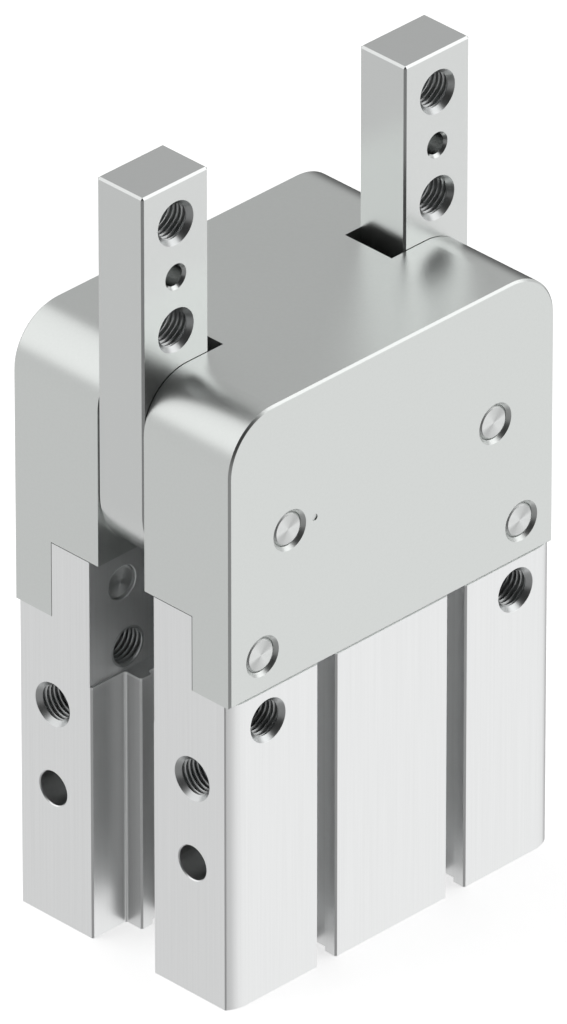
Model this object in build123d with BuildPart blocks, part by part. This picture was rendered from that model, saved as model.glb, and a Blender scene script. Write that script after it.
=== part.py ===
"""Pneumatic angular gripper: a piston drives two jaws that swing open through slotted levers.

Millimetres. X runs from jaw to jaw, Y through the thin side, Z up.
The origin is the middle of the bottom face.
The jaws are modelled closed and parallel, with the piston resting on its lower bumper.
"""

import os
from math import cos, radians, sin, sqrt

from build123d import *

# Housing
body_width = 60.0
body_depth = 40.0
profile_overhang = 2.0
profile_corner_radius = 5.0
profile_corner_trim = 0.05
shoulder_height = 46.75
tongue_height = 58.0
plate_thickness = 7.0
pocket_width = 12.0

# Pieces stacked in the bore, from the bottom up
bore_diameter = 32.0
stroke = 9.0
ring_seat = 1.8
ring_thickness = 1.2
ring_width = 3.7
ring_groove_depth = 0.85
ring_gap_angle = 36.0
ring_lug_radius = 2.3
ring_lug_inset = 1.0
ring_eye_diameter = 1.6
cap_flange_height = 6.7
cap_neck_height = 1.5
cap_neck_diameter = 26.0
cap_seal_height = 2.0
cap_seal_depth = 1.8
bumper_thickness = 1.5
bumper_outer_diameter = 24.0
bumper_inner_diameter = 14.8
piston_body_height = 6.8
piston_chamfer = 2.0
seal_above_piston_bottom = 2.9
seal_height = 3.0
seal_depth = 2.4
magnet_height = 2.2
magnet_width = 3.7
clamp_disc_height = 1.5
partition_thickness = 5.15
rod_seal_height = 2.6
rod_seal_width = 3.0
rod_bush_wall = 2.0

# Rod and its fastenings
rod_diameter = 10.0
rod_chamfer = 0.5
screw_diameter = 5.0
screw_head_diameter = 9.6
screw_head_recess = 0.2
screw_engagement = 9.0
screw_tip_room = 1.0
screw_socket_diameter = 3.4
screw_socket_depth = 1.6
spigot_diameter = 6.0

# Sensor grooves
groove_mouth = 3.25
groove_lip = 2.0
groove_inner_width = 4.8
groove_depth = 5.0
groove_inner_fillet = 0.6
groove_edge = 0.25
front_groove_offset = 12.05
channel_width = 11.4
channel_fillet = 0.4
channel_groove_mouth = 5.55
channel_groove_inner_width = 7.2
bore_wall = 2.8

# Fastening and air holes
thread_diameter = 6.0
thread_mouth_diameter = 6.5
front_thread_inset = 7.0
front_thread_above_pocket = 3.35
side_hole_offset = 13.0
side_thread_height = 33.2
side_thread_depth = 10.0
side_dowel_height = 20.2
side_dowel_depth = 8.0
dowel_diameter = 5.0
dowel_mouth_diameter = 5.3
bottom_thread_depth = 12.0
port_diameter = 5.0
port_mouth_diameter = 5.5

# Bearing cover and its pins
cover_height = 89.4
cover_corner_radius = 8.0
cover_edge = 0.3
slot_inset = 14.5
pin_diameter = 5.0
pin_mouth_diameter = 6.0
tongue_mouth_diameter = 5.2
pin_recess = 0.3
pin_chamfer = 0.35
pivot_inset = 11.0
pivot_below_top = 20.0
cover_dowel_inset = 6.0
mark_diameter = 1.0
mark_depth = 0.15
mark_offset = 4.6

# Jaws
jaw_thickness = 8.4
jaw_width = 12.0
jaw_reach = 47.6
jaw_edge = 0.3
jaw_thread_below_tip = 6.0
jaw_hole_pitch = 8.0
jaw_dowel_diameter = 3.0
jaw_dowel_mouth_diameter = 3.8
jaw_boss_radius = 6.5
bush_wall = 1.0
opening_angle = 20.0
lever_reach = 10.5
lever_drop = 13.4
lever_wall = 2.0

# Driver
follower_diameter = 4.0
driver_base_height = 5.3
driver_base_lift = 2.6
driver_boss_radius = 3.5
driver_cheek_gap = 6.0
driver_notch_floor = 3.0
driver_notch_fillet = 1.0
lock_pin_diameter = 2.0

# Clearances on each side
press_gap = 0.01
running_gap = 0.05
cap_gap = 0.07
joint_gap = 0.1
jaw_side_gap = 0.1
piston_gap = 0.2
driver_gap = 0.2
swing_gap = 0.6

# Levels in the bore, each resting on the one before
bore_radius = bore_diameter / 2
cap_bottom = ring_seat + ring_thickness
cap_neck_bottom = cap_bottom + cap_flange_height
cap_top = cap_neck_bottom + cap_neck_height
piston_bottom = cap_top + bumper_thickness
magnet_bottom = piston_bottom + piston_body_height
disc_bottom = magnet_bottom + magnet_height
piston_top = disc_bottom + clamp_disc_height
upper_bumper_bottom = piston_top + stroke
bore_top = upper_bumper_bottom + bumper_thickness
rod_seal_top = bore_top + rod_seal_height
pocket_floor = bore_top + partition_thickness
driver_bottom = pocket_floor + driver_base_lift
driver_base_top = driver_bottom + driver_base_height

# Radii that mating pieces share
rod_radius = rod_diameter / 2
rod_seal_radius = rod_radius + rod_seal_width
rod_bush_radius = rod_radius + rod_bush_wall
piston_radius = bore_radius - piston_gap
ring_groove_radius = bore_radius + ring_groove_depth
magnet_outer_radius = piston_radius - running_gap
magnet_inner_radius = magnet_outer_radius - magnet_width
pin_hole_diameter = pin_diameter + 2 * press_gap
bush_outer_radius = pin_diameter / 2 + running_gap + bush_wall

# Places shared by the housing, the cover, the jaws and the driver
half_width = body_width / 2
half_depth = body_depth / 2
tongue_face = half_depth - plate_thickness
pocket_face = pocket_width / 2
profile_width = body_width + 2 * profile_overhang
corner_centre_x = profile_width / 2 - profile_corner_radius
corner_rise = sqrt(profile_corner_radius**2 - (half_width - corner_centre_x) ** 2)
corner_y = half_depth - profile_corner_radius + corner_rise
trim_square = sqrt(2) * (half_width + corner_y - profile_corner_trim)
edge_square = sqrt(2) * groove_edge
channel_floor = bore_radius + bore_wall + groove_depth
groove_inner_depth = groove_depth - groove_lip
front_thread_x = half_width - front_thread_inset
front_thread_z = pocket_floor + front_thread_above_pocket
cover_dowel_x = half_width - cover_dowel_inset
cover_dowel_z = (shoulder_height + tongue_height) / 2
pivot_x = half_width - pivot_inset
pivot_z = cover_height - pivot_below_top
slot_face = jaw_thickness / 2 + jaw_side_gap
follower_x = pivot_x - lever_reach
follower_z = pivot_z - lever_drop
driver_half_width = follower_x + driver_boss_radius
driver_face = pocket_face - driver_gap
lever_thickness = driver_cheek_gap - 2 * driver_gap
cam_width = follower_diameter + 2 * running_gap
lever_end_radius = cam_width / 2 + lever_wall
cavity_top = pivot_z + jaw_boss_radius + swing_gap
fork_cavity_top = follower_z + stroke + driver_boss_radius + swing_gap
port_reach = half_depth - bore_radius + bumper_thickness
port_low_z = cap_neck_bottom + port_diameter / 2
port_high_z = bore_top - bumper_thickness / 2 - port_diameter / 2

# Planes that look at the sides and at each jaw's pivot
back_plane = Plane(origin=(0, half_depth, 0), x_dir=(-1, 0, 0), z_dir=(0, 1, 0))
front_plane = Plane(origin=(0, -half_depth, 0), x_dir=(1, 0, 0), z_dir=(0, -1, 0))
left_plane = Plane(origin=(-half_width, 0, 0), x_dir=(0, -1, 0), z_dir=(-1, 0, 0))
right_plane = Plane(origin=(half_width, 0, 0), x_dir=(0, 1, 0), z_dir=(1, 0, 0))
bottom_plane = Plane(origin=(0, 0, 0), x_dir=(1, 0, 0), z_dir=(0, 0, -1))
pivot_plane = Plane(origin=(pivot_x, 0, pivot_z), x_dir=(1, 0, 0), z_dir=(0, -1, 0))

os.makedirs("parts", exist_ok=True)


def write(part, label):
    """Label a finished piece and write it as its own file."""
    part.label = label
    export_step(part, f"parts/{label}.step")


def turned(points):
    """A solid turned about Z from its half section, given as radius and height."""
    with BuildPart() as solid:
        with BuildSketch(Plane.XZ):
            with BuildLine():
                Polyline(*points, close=True)
            make_face()
        revolve(axis=Axis.Z)
    return solid.part


def ring(inner, outer, low, high):
    """A plain ring about Z."""
    return turned([(inner, low), (outer, low), (outer, high), (inner, high)])


def drill(diameter, mouth_diameter, low, high, both_ends=True):
    """A cutter along Y, opened by a 45 degree chamfer to its mouth at the high end, or at both ends."""
    radius = diameter / 2
    mouth = mouth_diameter / 2
    flare = mouth - radius
    foot = [(low, 0), (low, mouth), (low + flare, radius)] if both_ends else [(low, 0), (low, radius)]
    with BuildPart() as solid:
        with BuildSketch(Plane.YZ):
            with BuildLine():
                Polyline(*foot, (high - flare, radius), (high, mouth), (high, 0), close=True)
            make_face()
        revolve(axis=Axis.Y)
    return solid.part


def pin(diameter, low, high, edge):
    """A straight pin along Y with chamfered ends."""
    with BuildPart() as solid:
        with BuildSketch(Plane.XZ.offset(-high)):
            Circle(diameter / 2)
        extrude(amount=high - low)
        chamfer(solid.faces().filter_by(Axis.Y).edges(), edge)
    return solid.part


def cam_point(angle):
    """Place of the follower in the jaw's own frame when the jaw has swung open by this angle.

    The follower climbs in proportion to the angle, so the jaw turns evenly with the piston. An arc through
    three of these places keeps within half the running gap of all of them.
    """
    height = stroke * angle / opening_angle - lever_drop
    turn = radians(angle)
    across = -lever_reach * cos(turn) - height * sin(turn)
    up = -lever_reach * sin(turn) + height * cos(turn)
    return across, up


# Cutters for the holes that go through a wall along Y
jaw_face = jaw_thickness / 2
front_thread = drill(thread_diameter, thread_mouth_diameter, pocket_face, half_depth, both_ends=False)
tongue_hole = drill(pin_hole_diameter, tongue_mouth_diameter, -tongue_face, -pocket_face, both_ends=False)
plate_hole = drill(pin_hole_diameter, pin_mouth_diameter, tongue_face, half_depth, both_ends=False)
pivot_hole = drill(pin_hole_diameter, pin_mouth_diameter, -half_depth, half_depth)
jaw_thread = drill(thread_diameter, thread_mouth_diameter, -jaw_face, jaw_face)
jaw_dowel_hole = drill(jaw_dowel_diameter, jaw_dowel_mouth_diameter, -jaw_face, jaw_face)

# The bore with its retaining ring groove, the seal seat and the bush seat
bore_cutter = turned(
    [
        (0, 0),
        (bore_radius, 0),
        (bore_radius, ring_seat - running_gap),
        (ring_groove_radius, ring_seat - running_gap),
        (ring_groove_radius, cap_bottom + running_gap),
        (bore_radius, cap_bottom + running_gap),
        (bore_radius, bore_top),
        (rod_seal_radius, bore_top),
        (rod_seal_radius, rod_seal_top),
        (rod_bush_radius, rod_seal_top),
        (rod_bush_radius, pocket_floor),
        (0, pocket_floor),
    ]
)

# Housing: an extruded profile whose sides, shoulders and jaw pocket are milled afterwards
with BuildPart() as housing:
    with BuildSketch():
        RectangleRounded(profile_width, body_depth, profile_corner_radius)
        Rectangle(body_width, body_depth, mode=Mode.INTERSECT)
        Rectangle(trim_square, trim_square, rotation=45, mode=Mode.INTERSECT)
    extrude(amount=tongue_height)
    with BuildSketch(Plane.XY.offset(shoulder_height)):
        with GridLocations(0, body_depth - plate_thickness, 1, 2):
            Rectangle(body_width, plate_thickness)
    extrude(amount=tongue_height - shoulder_height, mode=Mode.SUBTRACT)
    with BuildSketch(Plane.XY.offset(pocket_floor)):
        Rectangle(body_width, pocket_width)
    extrude(amount=tongue_height - pocket_floor, mode=Mode.SUBTRACT)

    # Sensor grooves with two lips each: two in the front, two in the back and one in each side channel
    with BuildSketch():
        for face in (-1, 1):
            with GridLocations(2 * front_groove_offset, 0, 2, 1):
                with Locations((0, face * (half_depth - groove_lip / 2))):
                    Rectangle(groove_mouth, groove_lip)
                with Locations((0, face * (half_depth - groove_depth + groove_inner_depth / 2))):
                    RectangleRounded(groove_inner_width, groove_inner_depth, groove_inner_fillet)
        with GridLocations(2 * front_groove_offset, body_depth, 2, 2):
            with GridLocations(groove_mouth, 0, 2, 1):
                Rectangle(edge_square, edge_square, rotation=45)
    extrude(amount=shoulder_height, mode=Mode.SUBTRACT)
    with BuildSketch():
        for side in (-1, 1):
            with Locations((side * (half_width + channel_fillet + channel_floor) / 2, 0)):
                RectangleRounded(half_width + channel_fillet - channel_floor, channel_width, channel_fillet)
            with Locations((side * (channel_floor - groove_lip / 2), 0)):
                Rectangle(groove_lip, channel_groove_mouth)
            with Locations((side * (channel_floor - groove_depth + groove_inner_depth / 2), 0)):
                RectangleRounded(groove_inner_depth, channel_groove_inner_width, groove_inner_fillet)
        with GridLocations(body_width, channel_width, 2, 2):
            Rectangle(edge_square, edge_square, rotation=45)
        with GridLocations(2 * channel_floor, channel_groove_mouth, 2, 2):
            Rectangle(edge_square, edge_square, rotation=45)
    extrude(amount=pocket_floor, mode=Mode.SUBTRACT)
    add(bore_cutter, mode=Mode.SUBTRACT)

    # Threads and cover dowel holes through the front and back walls
    for turn in (0, 180):
        for side in (-1, 1):
            with Locations(Location((side * front_thread_x, 0, front_thread_z), (0, 0, turn))):
                add(front_thread, mode=Mode.SUBTRACT)
            with Locations(Location((side * cover_dowel_x, 0, cover_dowel_z), (0, 0, turn))):
                add(tongue_hole, mode=Mode.SUBTRACT)

    # Threads and dowel holes in both sides, threads in the bottom, air ports in the back
    with Locations(left_plane, right_plane):
        with Locations((-side_hole_offset, side_thread_height), (side_hole_offset, side_thread_height)):
            CounterSinkHole(thread_diameter / 2, thread_mouth_diameter / 2, side_thread_depth, 90)
        with Locations((-side_hole_offset, side_dowel_height), (side_hole_offset, side_dowel_height)):
            CounterSinkHole(dowel_diameter / 2, dowel_mouth_diameter / 2, side_dowel_depth, 90)
    with Locations(bottom_plane):
        with GridLocations(2 * front_thread_x, 2 * side_hole_offset, 2, 2):
            CounterSinkHole(thread_diameter / 2, thread_mouth_diameter / 2, bottom_thread_depth, 90)
    with Locations(back_plane):
        with Locations((0, port_low_z), (0, port_high_z)):
            CounterSinkHole(port_diameter / 2, port_mouth_diameter / 2, port_reach, 90)
write(housing.part, "housing")

# Bearing cover: a saddle over the tongues, with a slot for each jaw and a cavity for the levers and the fork
with BuildPart() as bearing_cover:
    with BuildSketch(Plane.XZ) as saddle:
        with Locations((0, (shoulder_height + cover_height) / 2)):
            Rectangle(body_width, cover_height - shoulder_height)
        fillet(saddle.vertices().group_by(Axis.Y)[-1], cover_corner_radius)
    extrude(amount=half_depth, both=True)
    chamfer(bearing_cover.faces().filter_by(Axis.Y).edges(), cover_edge)
    with BuildSketch(Plane.XY.offset(shoulder_height)):
        Rectangle(body_width, 2 * (tongue_face + joint_gap))
    extrude(amount=tongue_height + joint_gap - shoulder_height, mode=Mode.SUBTRACT)
    with BuildSketch(Plane.XY.offset(tongue_height)):
        Rectangle(body_width, 2 * slot_face)
    extrude(amount=cavity_top - tongue_height, mode=Mode.SUBTRACT)
    with BuildSketch(Plane.XY.offset(cavity_top)):
        with GridLocations(body_width - slot_inset, 0, 2, 1):
            Rectangle(slot_inset, 2 * slot_face)
    extrude(amount=cover_height - cavity_top, mode=Mode.SUBTRACT)
    with BuildSketch(Plane.XY.offset(tongue_height)):
        Rectangle(2 * (driver_half_width + swing_gap), 2 * (driver_face + driver_gap))
    extrude(amount=fork_cavity_top - tongue_height, mode=Mode.SUBTRACT)
    for side in (-1, 1):
        with Locations((side * pivot_x, 0, pivot_z)):
            add(pivot_hole, mode=Mode.SUBTRACT)
        for turn in (0, 180):
            with Locations(Location((side * cover_dowel_x, 0, cover_dowel_z), (0, 0, turn))):
                add(plate_hole, mode=Mode.SUBTRACT)
    with Locations(front_plane):
        with Locations((mark_offset - pivot_x, pivot_z)):
            Hole(mark_diameter / 2, mark_depth)
write(bearing_cover.part, "bearing_cover")

# Four dowels hold the cover's plates to the tongues
dowel_pin = pin(pin_diameter, pocket_face + pin_recess, half_depth - pin_recess, pin_chamfer)
with BuildPart() as cover_dowels:
    for turn in (0, 180):
        for side in (-1, 1):
            with Locations(Location((side * cover_dowel_x, 0, cover_dowel_z), (0, 0, turn))):
                add(dowel_pin)
write(cover_dowels.part, "cover_dowels")

# Each jaw turns on a pin that crosses the cover from front to back
pivot_pin = pin(pin_diameter, pin_recess - half_depth, half_depth - pin_recess, pin_chamfer)
for name, side in (("left", -1), ("right", 1)):
    write(Pos(side * pivot_x, 0, pivot_z) * pivot_pin, f"{name}_pivot_pin")

# Right jaw: blade and heel at full thickness, then the thinner lever with its cam slot
heel_radius = half_width - pivot_x
with BuildPart() as right_jaw:
    with BuildSketch(pivot_plane):
        with Locations((heel_radius - jaw_width / 2, jaw_reach / 2)):
            Rectangle(jaw_width, jaw_reach)
        with BuildLine():
            Polyline((0, -heel_radius), (0, 0), (heel_radius, 0))
            CenterArc((0, 0), heel_radius, 270, 90)
        make_face()
        Circle(jaw_boss_radius)
    extrude(amount=jaw_face, both=True)
    rims = right_jaw.faces().filter_by(Axis.Y).edges()
    tip = right_jaw.faces().sort_by(Axis.Z)[-1].edges().filter_by(Axis.Y)
    chamfer(rims + tip, jaw_edge)
    with BuildSketch(pivot_plane):
        with BuildLine():
            CenterArc((0, 0), jaw_boss_radius, 0, 360)
            CenterArc(cam_point(0), lever_end_radius, 0, 360)
            CenterArc(cam_point(opening_angle), lever_end_radius, 0, 360)
        make_hull()
    extrude(amount=lever_thickness / 2, both=True)
    with BuildSketch(pivot_plane):
        with BuildLine() as cam_line:
            ThreePointArc(cam_point(0), cam_point(opening_angle / 2), cam_point(opening_angle))
        SlotArc(cam_line.edge(), cam_width)
    extrude(amount=lever_thickness, both=True, mode=Mode.SUBTRACT)
    with BuildSketch(pivot_plane):
        Circle(bush_outer_radius + press_gap)
    extrude(amount=jaw_thickness, both=True, mode=Mode.SUBTRACT)
    for row, cutter in enumerate((jaw_thread, jaw_dowel_hole, jaw_thread)):
        height = pivot_z + jaw_reach - jaw_thread_below_tip - row * jaw_hole_pitch
        with Locations((half_width - jaw_width / 2, 0, height)):
            add(cutter, mode=Mode.SUBTRACT)
write(right_jaw.part, "right_jaw")
write(mirror(right_jaw.part, about=Plane.YZ), "left_jaw")

# Bearing bush pressed into each jaw
with BuildPart() as jaw_bush:
    with BuildSketch(pivot_plane):
        Circle(bush_outer_radius)
        Circle(pin_diameter / 2 + running_gap, mode=Mode.SUBTRACT)
    extrude(amount=jaw_face, both=True)
write(jaw_bush.part, "right_jaw_bush")
write(mirror(jaw_bush.part, about=Plane.YZ), "left_jaw_bush")

# Driver: a fork on the rod whose four ears hold the followers
spigot_hole = spigot_diameter / 2 + press_gap
with BuildPart() as driver:
    with BuildSketch(Plane.XZ):
        with Locations((0, (driver_bottom + follower_z) / 2)):
            Rectangle(2 * driver_half_width, follower_z - driver_bottom)
        with Locations((-follower_x, follower_z), (follower_x, follower_z)):
            Circle(driver_boss_radius)
        notch_width = 2 * (follower_x - driver_boss_radius)
        notch_bottom = driver_base_top + driver_notch_floor
        with Locations((0, (notch_bottom + follower_z) / 2 + driver_boss_radius)):
            notch_height = follower_z - notch_bottom + 2 * driver_boss_radius
            RectangleRounded(notch_width, notch_height, driver_notch_fillet, mode=Mode.SUBTRACT)
    extrude(amount=driver_face, both=True)
    with BuildSketch(Plane.XY.offset(driver_base_top)):
        Rectangle(2 * driver_half_width, driver_cheek_gap)
    extrude(amount=follower_z + driver_boss_radius - driver_base_top, mode=Mode.SUBTRACT)
    with BuildSketch(Plane.XY.offset(driver_bottom)):
        Circle(spigot_hole)
    extrude(amount=driver_base_height, mode=Mode.SUBTRACT)
    with BuildSketch(Plane.XZ):
        with Locations((-follower_x, follower_z), (follower_x, follower_z)):
            Circle(follower_diameter / 2 + press_gap)
        with Locations((0, driver_bottom + driver_base_height / 2)):
            Circle(lock_pin_diameter / 2 + press_gap)
    extrude(amount=driver_face, both=True, mode=Mode.SUBTRACT)
write(driver.part, "driver")

# Followers that run in the cam slots, and the pin that locks the fork to the rod
follower_pin = pin(follower_diameter, -driver_face, driver_face, pin_chamfer)
for name, side in (("left", -1), ("right", 1)):
    write(Pos(side * follower_x, 0, follower_z) * follower_pin, f"{name}_follower_pin")
lock_pin = pin(lock_pin_diameter, -driver_face, driver_face, pin_chamfer)
write(Pos(0, 0, driver_bottom + driver_base_height / 2) * lock_pin, "driver_lock_pin")

# Piston rod with a tapped foot and a spigot for the fork
screw_hole = screw_diameter / 2 + press_gap
with BuildPart() as piston_rod:
    with BuildSketch(Plane.XY.offset(piston_top)):
        Circle(rod_radius)
    extrude(amount=driver_bottom - piston_top)
    chamfer(piston_rod.edges().sort_by(Axis.Z)[-1], rod_chamfer)
    with BuildSketch(Plane.XY.offset(driver_bottom)):
        Circle(spigot_diameter / 2)
    extrude(amount=driver_base_height)
    with BuildSketch(Plane.XY.offset(piston_top)):
        Circle(screw_hole)
    extrude(amount=screw_engagement + screw_tip_room, mode=Mode.SUBTRACT)
    with BuildSketch(Plane.XZ):
        with Locations((0, driver_bottom + driver_base_height / 2)):
            Circle(lock_pin_diameter / 2 + press_gap)
    extrude(amount=rod_radius, both=True, mode=Mode.SUBTRACT)
write(piston_rod.part, "piston_rod")

# Piston with its seal groove and the spigot that centres the magnet
seal_bottom = piston_bottom + seal_above_piston_bottom
groove_radius = piston_radius - seal_depth
head_radius = screw_head_diameter / 2 + press_gap
head_top = piston_bottom + screw_head_recess + head_radius - screw_hole
piston = turned(
    [
        (head_radius, piston_bottom),
        (piston_radius - piston_chamfer, piston_bottom),
        (piston_radius, piston_bottom + piston_chamfer),
        (piston_radius, seal_bottom),
        (groove_radius, seal_bottom),
        (groove_radius, seal_bottom + seal_height),
        (piston_radius, seal_bottom + seal_height),
        (piston_radius, magnet_bottom),
        (magnet_inner_radius - press_gap, magnet_bottom),
        (magnet_inner_radius - press_gap, disc_bottom),
        (screw_hole, disc_bottom),
        (screw_hole, head_top),
        (head_radius, piston_bottom + screw_head_recess),
    ]
)
write(piston, "piston")
write(ring(magnet_inner_radius, magnet_outer_radius, magnet_bottom, disc_bottom), "piston_magnet")
write(ring(screw_hole, piston_radius, disc_bottom, piston_top), "piston_clamp_disc")

# Piston seal: two lips and a groove between them
lip = seal_height / 3
seal_outer = bore_radius - running_gap
seal_waist = piston_radius - running_gap
seal_inner = groove_radius + press_gap
piston_seal = turned(
    [
        (seal_inner, seal_bottom + press_gap),
        (seal_outer, seal_bottom + press_gap),
        (seal_outer, seal_bottom + lip / 2),
        (seal_waist, seal_bottom + lip),
        (seal_waist, seal_bottom + 2 * lip),
        (seal_outer, seal_bottom + seal_height - lip / 2),
        (seal_outer, seal_bottom + seal_height - press_gap),
        (seal_inner, seal_bottom + seal_height - press_gap),
    ]
)
write(piston_seal, "piston_seal")

# Countersunk screw that clamps the piston, the magnet and the disc to the rod
screw_radius = screw_diameter / 2
screw_face = piston_bottom + screw_head_recess
with BuildPart() as piston_screw:
    with BuildSketch(Plane.XZ):
        with BuildLine():
            Polyline(
                (0, screw_face),
                (screw_head_diameter / 2, screw_face),
                (screw_radius, screw_face + screw_head_diameter / 2 - screw_radius),
                (screw_radius, piston_top + screw_engagement),
                (0, piston_top + screw_engagement),
                close=True,
            )
        make_face()
    revolve(axis=Axis.Z)
    with BuildSketch(Plane.XY.offset(screw_face)):
        RegularPolygon(screw_socket_diameter / 2, 6)
    extrude(amount=screw_socket_depth, mode=Mode.SUBTRACT)
write(piston_screw.part, "piston_screw")

# Bush and seal for the rod in the partition, and the rubber bumpers at both ends of the stroke
write(ring(rod_radius + running_gap, rod_bush_radius - press_gap, rod_seal_top, pocket_floor), "rod_bush")
rod_seal = turned(
    [
        (rod_radius + running_gap, bore_top),
        (rod_seal_radius - rod_seal_width / 2 - lip / 2, bore_top),
        (rod_seal_radius - rod_seal_width / 2, bore_top + lip),
        (rod_seal_radius - rod_seal_width / 2 + lip / 2, bore_top),
        (rod_seal_radius - press_gap, bore_top),
        (rod_seal_radius - press_gap, rod_seal_top),
        (rod_radius + running_gap, rod_seal_top),
    ]
)
write(rod_seal, "rod_seal")
bumper_radius = bumper_outer_diameter / 2
write(ring(rod_radius + piston_gap, bumper_radius, upper_bumper_bottom, bore_top), "upper_bumper")
write(ring(bumper_inner_diameter / 2, bumper_radius, cap_top, piston_bottom), "lower_bumper")

# End cap, its seal and the retaining ring that holds it
cap_radius = bore_radius - cap_gap
cap_groove_radius = cap_radius - cap_seal_depth
cap_seal_bottom = cap_bottom + (cap_flange_height - cap_seal_height) / 2
cap_seal_top = cap_seal_bottom + cap_seal_height
end_cap = turned(
    [
        (0, cap_bottom),
        (cap_radius, cap_bottom),
        (cap_radius, cap_seal_bottom),
        (cap_groove_radius, cap_seal_bottom),
        (cap_groove_radius, cap_seal_top),
        (cap_radius, cap_seal_top),
        (cap_radius, cap_neck_bottom),
        (cap_neck_diameter / 2, cap_neck_bottom),
        (cap_neck_diameter / 2, cap_top),
        (0, cap_top),
    ]
)
write(end_cap, "end_cap")
cap_seal = ring(
    cap_groove_radius + press_gap,
    bore_radius - press_gap,
    cap_seal_bottom + press_gap,
    cap_seal_top - press_gap,
)
write(cap_seal, "end_cap_seal")

with BuildPart() as retaining_ring:
    with BuildSketch(Plane.XY.offset(ring_seat)):
        outer = ring_groove_radius - running_gap
        lug_circle = outer - ring_lug_radius - ring_lug_inset
        Circle(outer)
        Circle(outer - ring_width, mode=Mode.SUBTRACT)
        with BuildLine():
            edge_turn = radians(ring_gap_angle / 2)
            far = 2 * outer
            Polyline(
                (0, 0),
                (far * sin(edge_turn), -far * cos(edge_turn)),
                (-far * sin(edge_turn), -far * cos(edge_turn)),
                close=True,
            )
        make_face(mode=Mode.SUBTRACT)
        with PolarLocations(lug_circle, 2, -90 - ring_gap_angle / 2, ring_gap_angle, endpoint=True):
            Circle(ring_lug_radius)
            Circle(ring_eye_diameter / 2, mode=Mode.SUBTRACT)
    extrude(amount=ring_thickness)
write(retaining_ring.part, "retaining_ring")
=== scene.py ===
"""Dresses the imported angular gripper: cuts its screw threads, finishes every piece and lights it in a studio.

Metres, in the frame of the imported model. Sizes in millimetres are said to be so, and are turned to metres
where they are used.
"""

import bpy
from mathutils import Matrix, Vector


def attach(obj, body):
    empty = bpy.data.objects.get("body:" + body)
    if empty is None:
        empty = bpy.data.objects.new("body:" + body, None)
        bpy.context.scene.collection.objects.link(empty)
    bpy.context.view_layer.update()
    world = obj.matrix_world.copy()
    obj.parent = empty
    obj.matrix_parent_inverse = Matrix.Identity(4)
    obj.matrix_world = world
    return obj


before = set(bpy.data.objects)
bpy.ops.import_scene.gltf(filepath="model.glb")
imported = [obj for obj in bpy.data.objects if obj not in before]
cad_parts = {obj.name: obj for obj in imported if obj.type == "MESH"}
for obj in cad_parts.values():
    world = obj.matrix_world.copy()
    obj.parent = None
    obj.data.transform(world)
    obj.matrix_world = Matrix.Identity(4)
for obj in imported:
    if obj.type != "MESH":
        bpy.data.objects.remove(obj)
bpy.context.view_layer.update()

from math import cos, pi, radians, sin

import bpy
import numpy as np
from bpy.props import FloatProperty, FloatVectorProperty, IntProperty, PointerProperty

bl_info = {
    "name": "Angular Gripper Dressing",
    "version": (1, 0, 0),
    "blender": (4, 5, 0),
    "location": "3D View > Sidebar > Gripper",
    "description": "Screw threads, metal finishes and a studio for an angular gripper",
    "category": "Object",
}

MM = 0.001
# New surfaces start this far inside the metal that they grow from
SUNK = 0.015 * MM

# The ways into holes from each side
FROM_FRONT = (0, 1, 0)
FROM_BACK = (0, -1, 0)
FROM_LEFT = (1, 0, 0)
FROM_RIGHT = (-1, 0, 0)
FROM_BELOW = (0, 0, 1)

# The holes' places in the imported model, in mm
HALF_WIDTH = 30
HALF_DEPTH = 20
SCREW_X = 23
SCREW_Y = 13
FRONT_SCREW_Z = 42.2
SIDE_SCREW_Z = 33.2
PORT_HEIGHTS = (12.2, 30.45)
JAW_X = 24
JAW_SCREW_HEIGHTS = (95, 111)
JAW_THICKNESS = 8.4
# The jaw pocket's half width and floor, each a little into the metal, so that its faces count as in it
POCKET_SIDE = 6.2
POCKET_FLOOR = 38.5

# Depths of the threads in mm, and the diameters of their lead-ins
WALL_DEPTH = 14
SIDE_DEPTH = 10
FOOT_DEPTH = 12
PORT_DEPTH = 4.6
SCREW_MOUTH = 6.5
PORT_MOUTH = 5.5
# The pocket's wall has no lead-in, so the ridge fills the hole there and only its edge is broken
POCKET_MOUTH = 5.4

# The pins' axes run along Y at this distance from the middle and this height, in mm
DOWEL_AXIS = (24, 52.375)
PIVOT_AXIS = (19, 69.4)
FOLLOWER_AXIS = (8.5, 56)

# Die lines are about 0.05 mm wide, drawn 0.36 mm wide and 30 mm long so that they show: as many in a metre
DIE_LINES = (2800, 2800, 33)
# Rings of the facing tool are about 0.05 mm apart, drawn this far apart in mm so that they show
TOOL_RING_PITCH = 0.25
# How much rougher the pocket is, which is milled after anodising
MILLED_ROUGHER = 0.2
# How far in mm a wall may be from a place that it shuts in, for the painted shade
RECESS_REACH = 8
# Painted shade: the share of its colour that the extrusion keeps where walls shut a place in, how much more
# of it the milled pocket keeps, and how much less the channels keep
EXTRUDED_RECESS = 0.8
POCKET_MORE = 0.2
CHANNEL_LESS = 0.3

# The studio: lamps by direction, distance and size, the point they face, and the grey levels of the world
KEY_LAMP = ((0.605, -0.518, 0.605), 0.95, 0.7)
RIM_LAMP = ((-0.43, 0.605, 0.68), 0.95, 1.15)
LAMP_TARGET = (0, 0, 0.06)
# Level above the horizon, by height from the horizon at 0 to straight up at 1
UPPER_LEVELS = ((0.0, 0.64), (0.35, 0.555), (0.7, 0.475), (1.0, 0.45))
# Level below the horizon, by share of a turn from -X through -Y
LOWER_LEVELS = (
    (0.0, 0.64), (0.07, 0.50), (0.125, 0.18), (0.17, 0.38), (0.22, 0.64),
    (0.29, 0.90), (0.375, 0.92), (0.625, 0.8), (0.875, 0.69), (1.0, 0.64),
)
# Heights between which the lower levels pass into the upper ones
HORIZON = (-0.2, 0.05)
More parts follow.
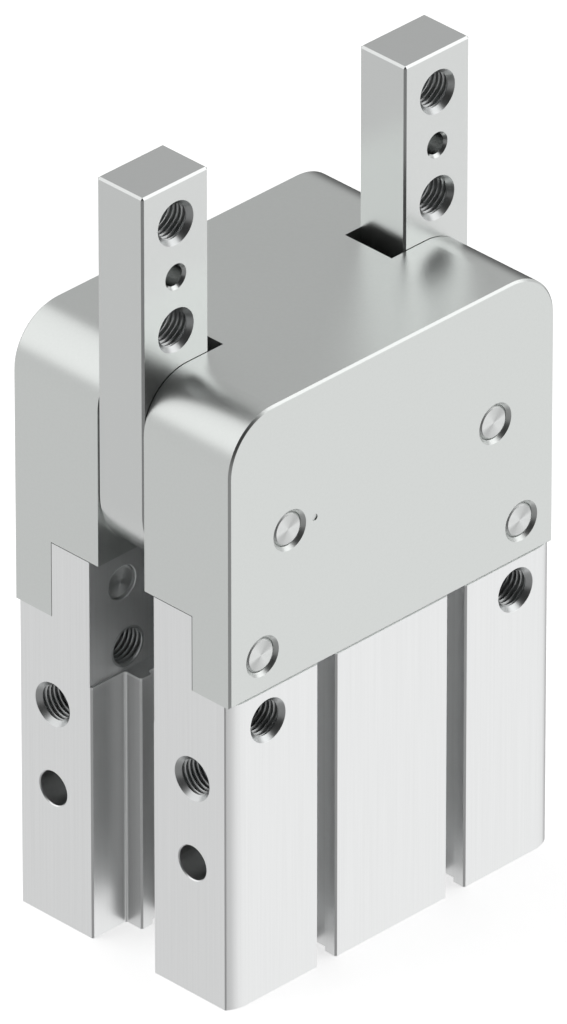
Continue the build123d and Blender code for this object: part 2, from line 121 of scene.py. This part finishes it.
# The unlit side of the studio, where the camera stands: direction, inner and outer angle, and share left
DARK_SIDE = ((-0.45, -0.75, 0.485), 28, 62, 0.06)
# The unlit floor behind the gripper, which rounded edges mirror at their outline
DARK_FLOOR = ((0.68, 0.62, -0.391), 14, 42, 0.04)


def linear(code):
    """Linear RGBA of an sRGB hex colour: c / 12.92 up to 0.04045, else ((c + 0.055) / 1.055) ** 2.4."""
    srgb = np.array([int(code[i : i + 2], 16) for i in (1, 3, 5)]) / 255
    rgb = np.where(srgb <= 0.04045, srgb / 12.92, ((srgb + 0.055) / 1.055) ** 2.4)
    return (*rgb.tolist(), 1.0)


def add_node(tree, kind, inputs=(), **settings):
    """Add a node with its settings. Inputs pairs each socket with a value or the socket that feeds it."""
    made = tree.nodes.new(kind)
    for name, value in settings.items():
        setattr(made, name, value)
    for name, value in dict(inputs).items():
        if isinstance(value, bpy.types.NodeSocket):
            tree.links.new(value, made.inputs[name])
        else:
            made.inputs[name].default_value = value
    return made


def calculate(tree, operation, *values):
    """The result of a math node. Each value is a number or a socket."""
    return add_node(tree, "ShaderNodeMath", dict(enumerate(values)), operation=operation).outputs[0]


def blend(tree, factor, first, second, mode="MIX"):
    """The colour that a mix node makes of two. Each is a colour or a socket."""
    inputs = {0: factor, 6: first, 7: second}
    return add_node(tree, "ShaderNodeMix", inputs, data_type="RGBA", blend_type=mode).outputs[2]


def colour_property(name, description, code):
    """A colour that a user may change, with its default given as sRGB hex."""
    return FloatVectorProperty(
        name=name, description=description, default=linear(code), size=4, min=0, max=1, subtype="COLOR"
    )


def length_property(name, description, default):
    """A length in metres that a user may change."""
    return FloatProperty(
        name=name, description=description, default=default, min=0, subtype="DISTANCE", unit="LENGTH"
    )


class GripperThreads(bpy.types.PropertyGroup):
    """Sizes of the screw threads."""

    screw_diameter: length_property("Screw diameter", "Outside diameter of the mounting screws", 6 * MM)
    screw_pitch: length_property("Screw pitch", "Rise of the fine mounting threads in one turn", 0.75 * MM)
    port_diameter: length_property("Port diameter", "Outside diameter of the air fittings", 5 * MM)
    port_pitch: length_property("Port pitch", "Rise of the air fitting threads in one turn", 0.8 * MM)
    steps: IntProperty(name="Steps", description="Facets in one turn of a thread", default=36, min=12)


class GripperFinish(bpy.types.PropertyGroup):
    """Colours of the visible metals."""

    housing: colour_property("Housing", "Clear anodised aluminium extrusion", "#F7F8F8")
    cover: colour_property("Cover", "Milled and clear anodised aluminium", "#E2E5E3")
    jaws: colour_property("Jaws", "Ground and nickel plated steel", "#DFE1E0")
    pins: colour_property("Pins", "Ground pins with faced ends", "#F1F3F2")
    driver: colour_property("Driver", "Hardened steel fork", "#9A9C9D")


class GripperStage(bpy.types.PropertyGroup):
    """Camera and lamps."""

    azimuth: FloatProperty(
        name="Azimuth", description="Turn of the camera from the front towards the left",
        default=radians(44.969), subtype="ANGLE", unit="ROTATION",
    )
    elevation: FloatProperty(
        name="Elevation", description="Height of the camera above the horizon", default=radians(31.207),
        subtype="ANGLE", unit="ROTATION",
    )
    distance: length_property("Distance", "From the camera to the gripper", 2.48269)
    lens: FloatProperty(
        name="Lens", description="Focal length on a 36 mm sensor, in millimetres", default=665.36, min=1
    )
    aim_height: length_property("Aim height", "Height that the camera looks at", 55.469 * MM)
    aim_side: FloatProperty(
        name="Aim side", description="Sideways shift of the aim to the camera's right", default=-0.12 * MM,
        subtype="DISTANCE", unit="LENGTH",
    )
    floor_size: length_property("Floor size", "Side of the square floor", 6.0)
    key_power: FloatProperty(
        name="Key lamp", description="Power of the key lamp", default=1.45, min=0, unit="POWER"
    )
    rim_power: FloatProperty(
        name="Rim lamp", description="Power of the rim lamp", default=2.4, min=0, unit="POWER"
    )


def place_mesh(name, vertices, faces, material, body):
    """A finished piece: its mesh in metres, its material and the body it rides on."""
    mesh = bpy.data.meshes.new(name)
    mesh.from_pydata(vertices, [], faces)
    mesh.materials.append(material)
    piece = bpy.data.objects.new(name, mesh)
    bpy.context.scene.collection.objects.link(piece)
    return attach(piece, body)


def carried(mouth, inward, angle, depth, radius):
    """Points round a hole's axis: the mouth, plus depth along the way in, plus radius out at the angle."""
    axis = np.array(inward, float)
    across = np.roll(axis, 1)
    other = np.cross(axis, across)
    ring = np.cos(angle)[..., None] * across + np.sin(angle)[..., None] * other
    return (np.array(mouth) * MM + depth[..., None] * axis + radius[..., None] * ring).reshape(-1, 3)


def strip_faces(count, closed):
    """Quads between count sets of four corners each, in a ring if closed, else capped at both ends."""
    start = np.arange(count if closed else count - 1)[:, None] * 4
    low = start + np.arange(4)[None, :]
    high = start + np.roll(np.arange(4), -1)[None, :]
    faces = np.stack([low, low + 4, high + 4, high], axis=-1).reshape(-1, 4) % (4 * count)
    if closed:
        return faces
    last = (count - 1) * 4
    return np.concatenate([faces, [[0, 1, 2, 3], [last + 3, last + 2, last + 1, last]]])


def ridge(mouth, inward, length, near, far, diameter, pitch, steps):
    """The ridge of an internal thread in one hole.

    It is a trapezoid carried along a helix. At turn t its four corners lie at the depth t * pitch plus -7/16,
    -1/12, 1/12 and 7/16 of the pitch, at the major radius, twice at the minor radius, and again at the major
    radius. The minor radius is the major one less 5/8 of the height of a 60 degree triangle.

    The lead-ins have the radii near and far, and far is 0 in a blind hole. A lead-in cuts the ridge at 45
    degrees, so no radius is less than the lead-in's less the depth. Without a far lead-in the last turn runs
    out, and its crest sinks into the wall. Corners that would stand out of a mouth are drawn back to just
    inside it, each a little apart from the next.
    """
    wall = diameter / 2 + SUNK
    minor = minor_radius(diameter, pitch)
    turns = length / pitch - (0 if far else 1)
    count = int(turns * steps) + 1
    turn = np.linspace(0, turns, count)[:, None]
    depth = (turn + np.array([-7 / 16, -1 / 12, 1 / 12, 7 / 16])) * pitch
    depth = np.maximum(depth, SUNK * (2 + depth / pitch))
    cut = near - depth
    rise = np.clip(turns - turn, 0, 1)
    if far:
        left = length - depth
        left = np.maximum(left, SUNK * (2 + left / pitch))
        depth = length - left
        cut = np.maximum(cut, far - left)
        rise = np.ones_like(turn)
    radius = wall + (np.array([wall, minor, minor, wall]) - wall) * rise
    radius = np.maximum(radius, cut)
    angle = np.broadcast_to(2 * pi * turn, radius.shape)
    return carried(mouth, inward, angle, depth, radius), strip_faces(count, False)


def lead_in(mouth, inward, foot, way, face, outer, minor, steps):
    """A ring whose cone is a thread's 45 degree lead-in: from the radius face, at the depth foot, to minor.

    It narrows on the way in, so way is 1 at the near mouth and -1 at the far one. Outer lies in the metal.
    """
    turn = np.arange(steps)[:, None] / steps
    reach = face - minor
    depth = foot + way * np.array([SUNK, SUNK, SUNK + reach, SUNK + reach])
    radius = np.array([outer, face - 2 * SUNK, minor - 2 * SUNK, outer])
    if way < 0:
        depth, radius = depth[::-1], radius[::-1]
    shape = (steps, 4)
    angle = np.broadcast_to(2 * pi * turn, shape)
    grid = carried(mouth, inward, angle, np.broadcast_to(depth, shape), np.broadcast_to(radius, shape))
    return grid, strip_faces(steps, True)


def minor_radius(diameter, pitch):
    """Radius at the crests of an internal thread."""
    return diameter / 2 - 5 / 8 * pitch * sin(pi / 3)


def sharpen_ridges(mesh):
    """Shade a ridge smooth round its helix and sharp along its four corner lines.

    Corners repeat every four vertices, so an edge runs along a corner line where both its ends have the same
    remainder by four.
    """
    ends = np.empty(len(mesh.edges) * 2, dtype=np.int32)
    mesh.edges.foreach_get("vertices", ends)
    ends = ends.reshape(-1, 2) % 4
    mesh.polygons.foreach_set("use_smooth", np.ones(len(mesh.polygons), dtype=bool))
    sharp = mesh.attributes.new("sharp_edge", "BOOLEAN", "EDGE")
    sharp.data.foreach_set("value", ends[:, 0] == ends[:, 1])
    mesh.update()


def cut_threads(name, holes, sizes, material, body):
    """One piece with the threads of several holes.

    Each hole is its mouth in mm, its way in, its depth in mm, and the diameters in mm of its near lead-in and
    of its far one, which is 0 in a blind hole.
    """
    diameter, pitch, steps = sizes
    minor = minor_radius(diameter, pitch)
    parts = []
    for mouth, inward, length, near, far in holes:
        length, near, far = length * MM, near / 2 * MM, far / 2 * MM
        parts.append(ridge(mouth, inward, length, near, far, diameter, pitch, steps))
        outer = max(near, diameter / 2) + SUNK
        parts.append(lead_in(mouth, inward, 0, 1, near, outer, minor, steps))
        if far:
            outer = max(far, diameter / 2) + SUNK
            parts.append(lead_in(mouth, inward, length, -1, far, outer, minor, steps))
    used = np.cumsum([0] + [len(grid) for grid, _ in parts])
    vertices = np.concatenate([grid for grid, _ in parts])
    faces = np.concatenate([quads + first for (_, quads), first in zip(parts, used)])
    piece = place_mesh(name, vertices.tolist(), faces.tolist(), material, body)
    sharpen_ridges(piece.data)


def dress(material, *nodes):
    """Give CAD nodes a material."""
    for name in nodes:
        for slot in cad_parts[name].material_slots:
            slot.material = material


def new_material(name):
    """An empty material with its node tree, principled shader and object coordinates."""
    material = bpy.data.materials.new(name)
    material.use_nodes = True
    tree = material.node_tree
    place = add_node(tree, "ShaderNodeTexCoord").outputs["Object"]
    return material, tree, tree.nodes["Principled BSDF"], place


def shade(tree, shader, colour, pattern, contrast, roughness, spread, relief, recess):
    """Let a pattern vary a surface's colour and roughness about their means, and lift it by relief, in mm.

    The colour falls to the share recess of itself deep in grooves and holes, as painted shade. How deep a place
    lies is told by how much of it the piece's own walls shut in within RECESS_REACH.
    The nodes that tell roughness and depth are returned.
    """
    dark = [*(np.array(colour[:3]) * (1 - contrast)), 1.0]
    light = [*np.minimum(np.array(colour[:3]) * (1 + contrast), 1), 1.0]
    reach = RECESS_REACH * MM
    # Painted shade: the colour darkens where the piece's own walls shut a place in
    shut = add_node(tree, "ShaderNodeAmbientOcclusion", {"Distance": reach}, samples=8, only_local=True)
    depth = add_node(tree, "ShaderNodeMapRange", {"Value": shut.outputs["AO"], "To Min": recess})
    # The grain's tone, times the painted shade in recesses
    grain_and_painted_shade = blend(tree, 1.0, blend(tree, pattern, dark, light), depth.outputs[0], "MULTIPLY")
    level = add_node(
        tree, "ShaderNodeMapRange",
        {"Value": pattern, "To Min": roughness - spread, "To Max": roughness + spread},
    )
    bump = add_node(tree, "ShaderNodeBump", {"Height": pattern, "Strength": 1.0, "Distance": relief * MM})
    tree.links.new(grain_and_painted_shade, shader.inputs["Base Color"])
    tree.links.new(level.outputs[0], shader.inputs["Roughness"])
    tree.links.new(bump.outputs[0], shader.inputs["Normal"])
    return level, depth


def extruded_aluminium(colour):
    """Aluminium extruded along Z and clear anodised: a bright satin with faint die lines along the profile.

    Nearer to the middle than POCKET_SIDE, both ways along Y, it differs. Above POCKET_FLOOR the jaw pocket is
    milled afterwards, so it is rougher with less painted shade. Below it the channels get darker painted shade.
    """
    material, tree, shader, place = new_material("Extruded aluminium, clear anodised")
    shader.inputs["Metallic"].default_value = 1.0
    stretched = add_node(tree, "ShaderNodeMapping", {"Vector": place, "Scale": DIE_LINES})
    lines = add_node(
        tree, "ShaderNodeTexNoise",
        {"Vector": stretched.outputs[0], "Scale": 1.0, "Detail": 3.0, "Roughness": 0.6},
    )
    level, depth = shade(
        tree, shader, colour, lines.outputs["Fac"], contrast=0.06, roughness=0.33, spread=0.03, relief=0.001,
        recess=EXTRUDED_RECESS,
    )
    split = add_node(tree, "ShaderNodeSeparateXYZ", {0: place})
    aside = calculate(tree, "ABSOLUTE", split.outputs["Y"])
    between = calculate(tree, "LESS_THAN", aside, POCKET_SIDE * MM)
    above = calculate(tree, "GREATER_THAN", split.outputs["Z"], POCKET_FLOOR * MM)
    milled = calculate(tree, "MULTIPLY", between, above)
    rougher = calculate(tree, "MULTIPLY_ADD", milled, MILLED_ROUGHER, level.outputs[0])
    tree.links.new(rougher, shader.inputs["Roughness"])
    # Painted shade: less of it in the milled pocket, more in the channels below it
    change = add_node(
        tree, "ShaderNodeMapRange", {"Value": above, "To Min": -CHANNEL_LESS, "To Max": POCKET_MORE}
    )
    kept = calculate(tree, "MULTIPLY_ADD", between, change.outputs[0], EXTRUDED_RECESS)
    tree.links.new(kept, depth.inputs["To Min"])
    return material


def grained(name, colour, roughness, grain, relief, contrast=0.03, recess=0.75, metallic=1.0):
    """An even grain: colour and roughness vary by speckles of the grain's size, in mm like the relief."""
    material, tree, shader, place = new_material(name)
    shader.inputs["Metallic"].default_value = metallic
    scale = 1 / (grain * MM)
    speckle = add_node(
        tree, "ShaderNodeTexNoise", {"Vector": place, "Scale": scale, "Detail": 3.0, "Roughness": 0.55}
    )
    # Recesses get painted shade, down to the share recess of the colour
    shade(
        tree, shader, colour, speckle.outputs["Fac"], contrast, roughness, spread=0.02, relief=relief,
        recess=recess,
    )
    return material


def faced_steel(name, colour, centre):
    """Ground steel whose ends were faced on a lathe: rings round its axis spread highlights into sectors.

    The rings' direction is across the way out from the pin's axis: for a pin along Y at (c, d), it is
    (d - z, 0, x - c), with x and c both taken on the side of the pin in hand.
    """
    material, tree, shader, place = new_material(name)
    shader.inputs["Metallic"].default_value = 1.0
    shader.inputs["Base Color"].default_value = colour
    shader.inputs["Roughness"].default_value = 0.4
    shader.inputs["Anisotropic"].default_value = 0.95
    split = add_node(tree, "ShaderNodeSeparateXYZ", {0: place})
    side = calculate(tree, "SIGN", split.outputs["X"])
    axis = calculate(tree, "MULTIPLY", side, centre[0] * MM)
    out = calculate(tree, "SUBTRACT", split.outputs["X"], axis)
    down = calculate(tree, "SUBTRACT", centre[1] * MM, split.outputs["Z"])
    round_pin = add_node(tree, "ShaderNodeCombineXYZ", {"X": down, "Z": out})
    tangent = add_node(tree, "ShaderNodeVectorMath", {0: round_pin.outputs[0]}, operation="NORMALIZE")
    tree.links.new(tangent.outputs[0], shader.inputs["Tangent"])
    reach = add_node(tree, "ShaderNodeVectorMath", {0: round_pin.outputs[0]}, operation="LENGTH")
    rings = calculate(tree, "MULTIPLY", reach.outputs["Value"], 2 * pi / (TOOL_RING_PITCH * MM))
    wave = calculate(tree, "SINE", rings)
    bump = add_node(tree, "ShaderNodeBump", {"Height": wave, "Strength": 1.0, "Distance": 0.001 * MM})
    tree.links.new(bump.outputs[0], shader.inputs["Normal"])
    return material


class GRIPPER_OT_housing(bpy.types.Operator):
    """Finish the extruded housing and cut its threads"""

    bl_idname = "gripper.housing"
    bl_label = "Housing and Threads"

    def execute(self, context):
        finish = context.scene.gripper_finish
        threads = context.scene.gripper_threads
        dress(extruded_aluminium(tuple(finish.housing)), "housing")
        screws = (threads.screw_diameter, threads.screw_pitch, threads.steps)
        ports = (threads.port_diameter, threads.port_pitch, threads.steps)
        across, along = (-SCREW_X, SCREW_X), (-SCREW_Y, SCREW_Y)
        wall = (WALL_DEPTH, SCREW_MOUTH, POCKET_MOUTH)
        side = (SIDE_DEPTH, SCREW_MOUTH, 0)
        foot = (FOOT_DEPTH, SCREW_MOUTH, 0)
        holes = [((x, -HALF_DEPTH, FRONT_SCREW_Z), FROM_FRONT, *wall) for x in across]
        holes += [((x, HALF_DEPTH, FRONT_SCREW_Z), FROM_BACK, *wall) for x in across]
        holes += [((-HALF_WIDTH, y, SIDE_SCREW_Z), FROM_LEFT, *side) for y in along]
        holes += [((HALF_WIDTH, y, SIDE_SCREW_Z), FROM_RIGHT, *side) for y in along]
        holes += [((x, y, 0), FROM_BELOW, *foot) for x in across for y in along]
        # Tapped after anodising; its colour is darker than the housing's, as painted shade deep in the holes
        tapped = grained(
            "Tapped aluminium, painted shade", linear("#D8DADA"), roughness=0.31, grain=0.3, relief=0.0002, recess=0.85
        )
        cut_threads("housing_threads", holes, screws, tapped, "housing")
        back = [((0, HALF_DEPTH, z), FROM_BACK, PORT_DEPTH, PORT_MOUTH, 0) for z in PORT_HEIGHTS]
        cut_threads("port_threads", back, ports, tapped, "housing")
        return {"FINISHED"}


class GRIPPER_OT_cover(bpy.types.Operator):
    """Finish the bearing cover and the pins seen in it"""

    bl_idname = "gripper.cover"
    bl_label = "Cover and Pins"

    def execute(self, context):
        finish = context.scene.gripper_finish
        # Milled aluminium, blasted fine and clear anodised: an even grey satin
        metal = grained(
            "Milled aluminium, clear anodised", tuple(finish.cover), roughness=0.33, grain=0.4, relief=0.0002
        )
        dress(metal, "bearing_cover")
        # Ground pins with faced ends: bright steel with light and dark sectors that turn with the view
        dress(faced_steel("Ground dowel steel", tuple(finish.pins), DOWEL_AXIS), "cover_dowels")
        pivots = faced_steel("Ground pivot steel", tuple(finish.pins), PIVOT_AXIS)
        dress(pivots, "left_pivot_pin", "right_pivot_pin")
        return {"FINISHED"}


class GRIPPER_OT_jaws(bpy.types.Operator):
    """Finish both jaws and their bushes, and cut the threads that take the fingers"""

    bl_idname = "gripper.jaws"
    bl_label = "Jaws"

    def execute(self, context):
        finish = context.scene.gripper_finish
        threads = context.scene.gripper_threads
        screws = (threads.screw_diameter, threads.screw_pitch, threads.steps)
        # Ground steel with a thin nickel plate: warm white and slightly softer than chrome
        metal = grained(
            "Ground steel, nickel plated", tuple(finish.jaws), roughness=0.25, grain=0.4, relief=0.0002
        )
        # Tapped after plating; its colour is darker than the jaws', as painted shade deep in the holes
        tapped = grained(
            "Tapped steel, painted shade", linear("#D2D4D4"), roughness=0.31, grain=0.3, relief=0.0002, recess=0.85
        )
        for side, sign in (("left", -1), ("right", 1)):
            dress(metal, f"{side}_jaw")
            mouths = [(JAW_X * sign, -JAW_THICKNESS / 2, z) for z in JAW_SCREW_HEIGHTS]
            holes = [(mouth, FROM_FRONT, JAW_THICKNESS, SCREW_MOUTH, SCREW_MOUTH) for mouth in mouths]
            cut_threads(f"{side}_jaw_threads", holes, screws, tapped, f"{side}_jaw")
        # Sintered bronze soaked in oil: a brown, porous, dull metal
        bronze = grained(
            "Sintered bronze", linear("#A88456"), roughness=0.5, grain=0.15, relief=0.01, contrast=0.25
        )
        dress(bronze, "left_jaw_bush", "right_jaw_bush", "rod_bush")
        return {"FINISHED"}


class GRIPPER_OT_drive(bpy.types.Operator):
    """Finish the fork, the rod, the piston and what holds them"""

    bl_idname = "gripper.drive"
    bl_label = "Drive"

    def execute(self, context):
        finish = context.scene.gripper_finish
        # Hardened and tempered steel, tumbled: a grey, slightly mottled metal
        fork = grained(
            "Hardened steel, tumbled", tuple(finish.driver), roughness=0.42, grain=0.6, relief=0.004,
            contrast=0.06,
        )
        dress(fork, "driver", "driver_lock_pin")
        # Ground like the other pins, and the only bright ones in the fork
        followers = faced_steel("Ground follower steel", tuple(finish.pins), FOLLOWER_AXIS)
        dress(followers, "left_follower_pin", "right_follower_pin")
        # Hard chrome, ground and polished: nearly a mirror
        chrome = grained("Hard chrome, ground", linear("#CFD2D4"), roughness=0.14, grain=0.2, relief=0.0005)
        dress(chrome, "piston_rod")
        # Turned aluminium: bright, with a fine grain
        turned = grained(
            "Turned aluminium", linear("#D2D4D5"), roughness=0.3, grain=0.3, relief=0.002, contrast=0.05
        )
        dress(turned, "piston", "piston_clamp_disc", "end_cap")
        # Zinc plated steel: a cool grey with cloudy patches
        zinc = grained(
            "Zinc plated steel", linear("#A9AEB4"), roughness=0.4, grain=1.5, relief=0.003, contrast=0.08
        )
        dress(zinc, "piston_screw")
        # Blackened spring steel: an oily dark oxide
        spring = grained(
            "Blackened spring steel", linear("#4A4B4D"), roughness=0.38, grain=0.4, relief=0.003,
            contrast=0.1, metallic=0.8,
        )
        dress(spring, "retaining_ring")
        return {"FINISHED"}


class GRIPPER_OT_seals(bpy.types.Operator):
    """Finish the seals, the bumpers and the magnet"""

    bl_idname = "gripper.seals"
    bl_label = "Seals and Magnet"

    def execute(self, context):
        # Nitrile rubber: nearly black, with a soft sheen
        nitrile = grained(
            "Nitrile rubber", linear("#1C1C1D"), roughness=0.6, grain=0.2, relief=0.004, contrast=0.15,
            metallic=0.0,
        )
        dress(nitrile, "piston_seal", "rod_seal", "end_cap_seal")
        # Cast polyurethane: dark and slightly glossier than rubber
        urethane = grained(
            "Cast polyurethane", linear("#2E2E31"), roughness=0.45, grain=0.5, relief=0.003, contrast=0.1,
            metallic=0.0,
        )
        dress(urethane, "upper_bumper", "lower_bumper")
        # Plastic bonded ferrite: matt charcoal with fine metal specks
        ferrite = grained(
            "Bonded ferrite", linear("#3A3A3C"), roughness=0.55, grain=0.1, relief=0.003, contrast=0.3,
            metallic=0.3,
        )
        dress(ferrite, "piston_magnet")
        return {"FINISHED"}


class GRIPPER_OT_stage(bpy.types.Operator):
    """Make the floor, the world, the lamps and the camera"""

    bl_idname = "gripper.stage"
    bl_label = "Studio"

    def execute(self, context):
        stage = context.scene.gripper_stage
        make_floor(stage.floor_size)
        make_world(context.scene)
        add_lamp("key_lamp", *KEY_LAMP, stage.key_power)
        add_lamp("rim_lamp", *RIM_LAMP, stage.rim_power)
        add_camera(context.scene, stage)
        return {"FINISHED"}


def ramp(tree, value, stops):
    """Grey level by a value, straight between the stops."""
    made = add_node(tree, "ShaderNodeValToRGB", {0: value})
    elements = made.color_ramp.elements
    elements.remove(elements[0])
    elements[0].position = stops[0][0]
    elements[0].color = (*[stops[0][1]] * 3, 1)
    for position, level in stops[1:]:
        elements.new(position).color = (*[level] * 3, 1)
    return made.outputs["Color"]


def dimmed(tree, place, level, centre, inner, outer, least):
    """A level that falls to the share least of itself within inner degrees of a direction.

    It is whole beyond outer degrees.
    """
    toward = add_node(tree, "ShaderNodeVectorMath", {0: place, 1: centre}, operation="DOT_PRODUCT")
    share = add_node(
        tree, "ShaderNodeMapRange",
        {"Value": toward.outputs["Value"], "From Min": cos(radians(inner)), "From Max": cos(radians(outer)),
         "To Min": least},
        interpolation_type="SMOOTHSTEP",
    )
    return blend(tree, 1.0, level, share.outputs[0], "MULTIPLY")


def make_floor(size):
    """A pale floor, white to the camera, that keeps the shadow. Metal mirrors the studio through it."""
    half = size / 2
    corners = [(-half, -half, 0), (half, -half, 0), (half, half, 0), (-half, half, 0)]
    mesh = bpy.data.meshes.new("floor")
    mesh.from_pydata(corners, [], [(0, 1, 2, 3)])
    floor = bpy.data.objects.new("floor", mesh)
    bpy.context.scene.collection.objects.link(floor)
    material, tree, shader, _ = new_material("Studio floor, pale paint")
    tree.nodes.remove(shader)
    path = add_node(tree, "ShaderNodeLightPath")
    paint = add_node(tree, "ShaderNodeBsdfDiffuse", {"Color": linear("#E6E6E6")})
    glow = add_node(
        tree, "ShaderNodeEmission", {"Strength": path.outputs["Is Camera Ray"], "Color": linear("#DADADA")}
    )
    seen = add_node(tree, "ShaderNodeAddShader", {0: paint.outputs[0], 1: glow.outputs[0]})
    clear = add_node(tree, "ShaderNodeBsdfTransparent")
    either = calculate(tree, "MAXIMUM", path.outputs["Is Glossy Ray"], path.outputs["Is Transmission Ray"])
    both = add_node(tree, "ShaderNodeMixShader", {0: either, 1: seen.outputs[0], 2: clear.outputs[0]})
    tree.links.new(both.outputs[0], tree.nodes["Material Output"].inputs["Surface"])
    mesh.materials.append(material)


def make_world(scene):
    """A white world to the camera, and a soft studio, brighter towards the horizon, to everything else."""
    world = bpy.data.worlds.new("studio")
    scene.world = world
    world.use_nodes = True
    tree = world.node_tree
    place = add_node(tree, "ShaderNodeTexCoord").outputs["Generated"]
    split = add_node(tree, "ShaderNodeSeparateXYZ", {0: place})
    above = dimmed(tree, place, ramp(tree, split.outputs["Z"], UPPER_LEVELS), *DARK_SIDE)
    turn = add_node(tree, "ShaderNodeTexGradient", {0: place}, gradient_type="RADIAL")
    below = ramp(tree, turn.outputs["Fac"], LOWER_LEVELS)
    horizon = add_node(
        tree, "ShaderNodeMapRange",
        {"Value": split.outputs["Z"], "From Min": HORIZON[0], "From Max": HORIZON[1]},
        interpolation_type="SMOOTHSTEP",
    )
    sky = blend(tree, horizon.outputs[0], below, above)
    studio = dimmed(tree, place, sky, *DARK_FLOOR)
    path = add_node(tree, "ShaderNodeLightPath")
    seen = blend(tree, path.outputs["Is Camera Ray"], studio, (1, 1, 1, 1))
    tree.links.new(seen, tree.nodes["Background"].inputs["Color"])


def add_lamp(name, direction, distance, size, power):
    """A square soft lamp that faces LAMP_TARGET from a direction, unseen by the camera."""
    lamp = bpy.data.lights.new(name, "AREA")
    lamp.size = size
    lamp.energy = power
    made = bpy.data.objects.new(name, lamp)
    bpy.context.scene.collection.objects.link(made)
    away = np.array(direction) / np.linalg.norm(direction)
    made.location = np.array(LAMP_TARGET) + away * distance
    made.rotation_euler = Vector(away.tolist()).to_track_quat("Z", "Y").to_euler()
    made.visible_camera = False


def add_camera(scene, stage):
    """The camera: back along azimuth and elevation, by the distance, from the point it aims at."""
    lens = bpy.data.cameras.new("camera")
    lens.lens = stage.lens
    lens.clip_end = 20
    camera = bpy.data.objects.new("camera", lens)
    scene.collection.objects.link(camera)
    turn, rise = -stage.azimuth, stage.elevation
    back = np.array([sin(turn) * cos(rise), -cos(turn) * cos(rise), sin(rise)])
    right = np.array([cos(turn), sin(turn), 0])
    target = np.array([0, 0, stage.aim_height]) + right * stage.aim_side
    camera.location = target + back * stage.distance
    camera.rotation_euler = (pi / 2 - rise, 0, turn)
    scene.camera = camera


class GRIPPER_PT_panel(bpy.types.Panel):
    """Sizes, colours and steps of the gripper"""

    bl_idname = "GRIPPER_PT_panel"
    bl_label = "Angular Gripper"
    bl_space_type = "VIEW_3D"
    bl_region_type = "UI"
    bl_category = "Gripper"

    def draw(self, context):
        scene = context.scene
        for group in (scene.gripper_threads, scene.gripper_finish, scene.gripper_stage):
            box = self.layout.box()
            for name in group.__annotations__:
                box.prop(group, name)
        for step in STEPS:
            self.layout.operator(step.bl_idname)


STEPS = (
    GRIPPER_OT_housing,
    GRIPPER_OT_cover,
    GRIPPER_OT_jaws,
    GRIPPER_OT_drive,
    GRIPPER_OT_seals,
    GRIPPER_OT_stage,
)
CLASSES = (GripperThreads, GripperFinish, GripperStage, *STEPS, GRIPPER_PT_panel)


def register():
    for item in CLASSES:
        bpy.utils.register_class(item)
    bpy.types.Scene.gripper_threads = PointerProperty(type=GripperThreads)
    bpy.types.Scene.gripper_finish = PointerProperty(type=GripperFinish)
    bpy.types.Scene.gripper_stage = PointerProperty(type=GripperStage)


def unregister():
    del bpy.types.Scene.gripper_threads
    del bpy.types.Scene.gripper_finish
    del bpy.types.Scene.gripper_stage
    for item in reversed(CLASSES):
        bpy.utils.unregister_class(item)


def main():
    """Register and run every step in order."""
    register()
    bpy.context.scene.view_settings.view_transform = "Standard"
    bpy.ops.gripper.housing()
    bpy.ops.gripper.cover()
    bpy.ops.gripper.jaws()
    bpy.ops.gripper.drive()
    bpy.ops.gripper.seals()
    bpy.ops.gripper.stage()


if __name__ == "__main__":
    main()
